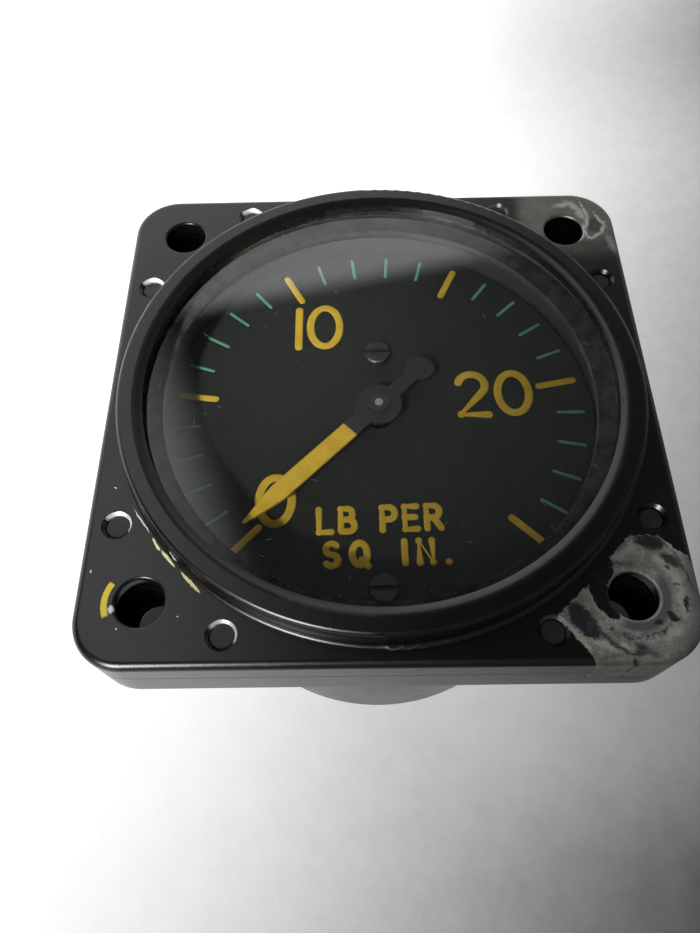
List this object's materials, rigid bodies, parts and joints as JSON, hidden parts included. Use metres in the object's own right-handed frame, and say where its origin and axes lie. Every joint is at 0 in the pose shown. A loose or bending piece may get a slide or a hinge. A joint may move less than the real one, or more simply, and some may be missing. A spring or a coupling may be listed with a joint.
{
  "type": "radar pressure indicator",
  "caption": "Square-flanged round panel gauge with a raised ring, glass, dark dial, yellow pointer and a curved-tube pressure movement in a short round case.",
  "frame": {"origin": "centre of the panel screw pattern, on the flange's front face", "axes": "+Z out of the dial towards the reader, +Y to the top of the dial, +X to its right"},
  "size_m": [0.0606, 0.0606, 0.0469],
  "materials": {
    "black_paint": "satin black paint, worn and chipped at the corners",
    "glass": "clear, dusty",
    "rubber": "matt black, dusty",
    "dull_metal": "dull dark grey",
    "steel": "plain steel",
    "dial_paint": "matt dark grey-green paint",
    "black_screw": "blackened, worn slot",
    "brass": "plain turned brass",
    "bronze": "drawn bronze tube",
    "spring_bronze": "spring strip",
    "pointer_paint": "yellow paint, black hub and tail"
  },
  "bodies": {
    "gauge": {"bezel": "black_paint", "cover_glass": "glass", "glass_gasket": "rubber", "spacer_ring": "dull_metal", "case": "black_paint", "flange_seal": "rubber", "bezel_screws": "black_screw", "dial": "dial_paint", "dial_posts": "brass", "dial_screws": "black_screw", "front_plate": "brass", "rear_plate": "brass", "plate_pillars": "brass", "plate_screws": "steel", "pivot_bushes": "bronze", "bourdon_tube": "bronze", "tube_tip": "brass", "pressure_socket": "brass", "port_seal": "rubber", "socket_screws": "steel", "movement_screws": "steel", "hairspring_stud": "steel", "stop_pins": "steel"},
    "pointer_shaft": {"pointer": "pointer_paint", "pointer_hub": "black_screw", "pinion_staff": "steel", "hairspring": "spring_bronze", "hairspring_collet": "brass"},
    "sector": {"sector_gear": "brass", "sector_staff": "steel"},
    "link": {"link": "brass", "tail_pin": "steel", "tip_pin": "steel"}
  },
  "joints": [
    {"name": "sector_swing", "type": "hinge", "parent": "gauge", "child": "sector", "pos_m": [0, -0.012, -0.0154], "axis": [0, 0, 1], "range_deg": [0, 38.57], "stiffness_Nm_per_rad": 0.014},
    {"name": "pointer_turn", "type": "hinge", "parent": "gauge", "child": "pointer_shaft", "pos_m": [0, 0, -0.0154], "axis": [0, 0, -1], "range_deg": [0, 270.1]},
    {"name": "link_swing", "type": "hinge", "parent": "sector", "child": "link", "pos_m": [-0.00051, -0.01597, -0.01565], "axis": [0, 0, -1], "range_deg": [0, 38.6]}
  ],
  "couplings": [
    {"joint": "pointer_turn", "follows": "sector_swing", "ratio": 7},
    {"joint": "link_swing", "follows": "sector_swing", "ratio": 1}
  ]
}
